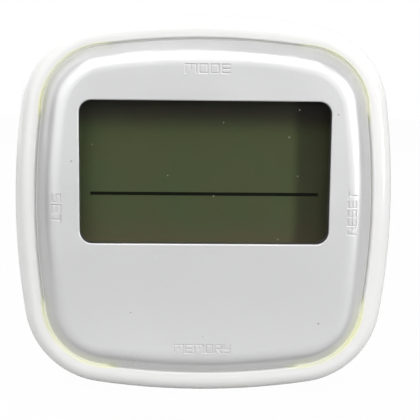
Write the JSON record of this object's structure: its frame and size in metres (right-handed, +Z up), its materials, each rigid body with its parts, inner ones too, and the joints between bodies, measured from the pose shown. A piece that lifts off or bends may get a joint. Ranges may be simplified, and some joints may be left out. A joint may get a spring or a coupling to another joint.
{
  "type": "programmable timer",
  "caption": "Rounded-square battery timer with a rocking press face, recessed blank LCD, fold-out stand, battery door and hanging keyhole.",
  "frame": {"origin": "middle of the flat back", "axes": "+Z up the face, -Y out of the face towards the user, +X to the user's right"},
  "size_m": [0.08, 0.0214, 0.08],
  "materials": {
    "white_case": "high-gloss white moulding",
    "white_back": "fine spark-textured white moulding",
    "silver_face": "satin silver-grey paint on plastic",
    "clear_window": "clear acrylic",
    "black_foam": "closed-cell foam",
    "display_film": "anti-glare polarising film",
    "display_glass": "clear glass",
    "display_back": "grey-green transflective film",
    "black_print": "printed ink",
    "dark_frame": "satin dark grey moulding",
    "grey_rubber": "silicone",
    "green_board": "solder mask",
    "screw_steel": "zinc plated",
    "black_epoxy": "glossy epoxy",
    "tinned_metal": "nickel plated",
    "tan_ceramic": "ceramic",
    "black_ceramic": "ceramic",
    "black_plastic": "moulded",
    "stem_plastic": "acetal",
    "grey_plastic": "acetal",
    "pin_steel": "ground steel",
    "cell_jacket": "printed sleeve on a steel can",
    "spring_steel": "nickel plated wire",
    "wire_jacket": "PVC insulation",
    "brass_disc": "bare brass",
    "white_ceramic": "silvered ceramic",
    "magnet_nickel": "nickel plated"
  },
  "bodies": {
    "case": {"front_ring": "white_case", "rear_case": "white_back", "lcd_polariser": "display_film", "lcd_front_glass": "display_glass", "lcd_rear_glass": "display_glass", "lcd_reflector": "display_back", "divider_line": "black_print", "lcd_bezel": "dark_frame", "zebra_strips": "grey_rubber", "main_board": "green_board", "board_screws": "screw_steel", "chip_cover": "black_epoxy", "crystal": "tinned_metal", "chip_capacitors": "tan_ceramic", "chip_resistors": "black_ceramic", "switch_housings": "black_plastic", "case_screws": "screw_steel", "battery_cell": "cell_jacket", "contact_spring": "spring_steel", "contact_tabs": "tinned_metal", "battery_wires": "wire_jacket", "piezo_disc": "brass_disc", "piezo_ceramic": "white_ceramic", "piezo_wires": "wire_jacket", "stand_pin": "pin_steel", "back_magnets": "magnet_nickel"},
    "gimbal": {"gimbal_ring": "grey_plastic", "pivot_pins": "pin_steel"},
    "face": {"press_plate": "silver_face", "window_lens": "clear_window", "window_gasket": "black_foam"},
    "mode_key": {"mode_stem": "stem_plastic"},
    "memory_key": {"memory_stem": "stem_plastic"},
    "set_key": {"set_stem": "stem_plastic"},
    "reset_key": {"reset_stem": "stem_plastic"},
    "door": {"battery_door": "white_back"},
    "stand": {"fold_out_stand": "white_back"}
  },
  "joints": [
    {"name": "face_rocks_up_down", "type": "hinge", "parent": "case", "child": "gimbal", "pos_m": [0, -0.0112, 0], "axis": [-1, 0, 0], "range_deg": [-1, 1]},
    {"name": "face_rocks_sideways", "type": "hinge", "parent": "gimbal", "child": "face", "pos_m": [0, -0.0112, 0], "axis": [0, 0, 1], "range_deg": [-1, 1]},
    {"name": "mode_press", "type": "slide", "parent": "case", "child": "mode_key", "axis": [0, 1, 0], "range_m": [-0.0005, 0.0005]},
    {"name": "memory_press", "type": "slide", "parent": "case", "child": "memory_key", "axis": [0, 1, 0], "range_m": [-0.0005, 0.0005]},
    {"name": "set_press", "type": "slide", "parent": "case", "child": "set_key", "axis": [0, 1, 0], "range_m": [-0.00055, 0.00055]},
    {"name": "reset_press", "type": "slide", "parent": "case", "child": "reset_key", "axis": [0, 1, 0], "range_m": [-0.00055, 0.00055]},
    {"name": "battery_door_opens", "type": "hinge", "parent": "case", "child": "door", "pos_m": [0, -0.0008, 0.01085], "axis": [-1, 0, 0], "range_deg": [0, 80]},
    {"name": "stand_folds_out", "type": "hinge", "parent": "case", "child": "stand", "pos_m": [0, -0.00135, -0.003], "axis": [1, 0, 0], "range_deg": [0, 50]}
  ],
  "couplings": [
    {"joint": "mode_press", "follows": "face_rocks_up_down", "m_per_rad": 0.0279},
    {"joint": "memory_press", "follows": "face_rocks_up_down", "m_per_rad": -0.0279},
    {"joint": "reset_press", "follows": "face_rocks_sideways", "m_per_rad": 0.0303},
    {"joint": "set_press", "follows": "face_rocks_sideways", "m_per_rad": -0.0303}
  ]
}
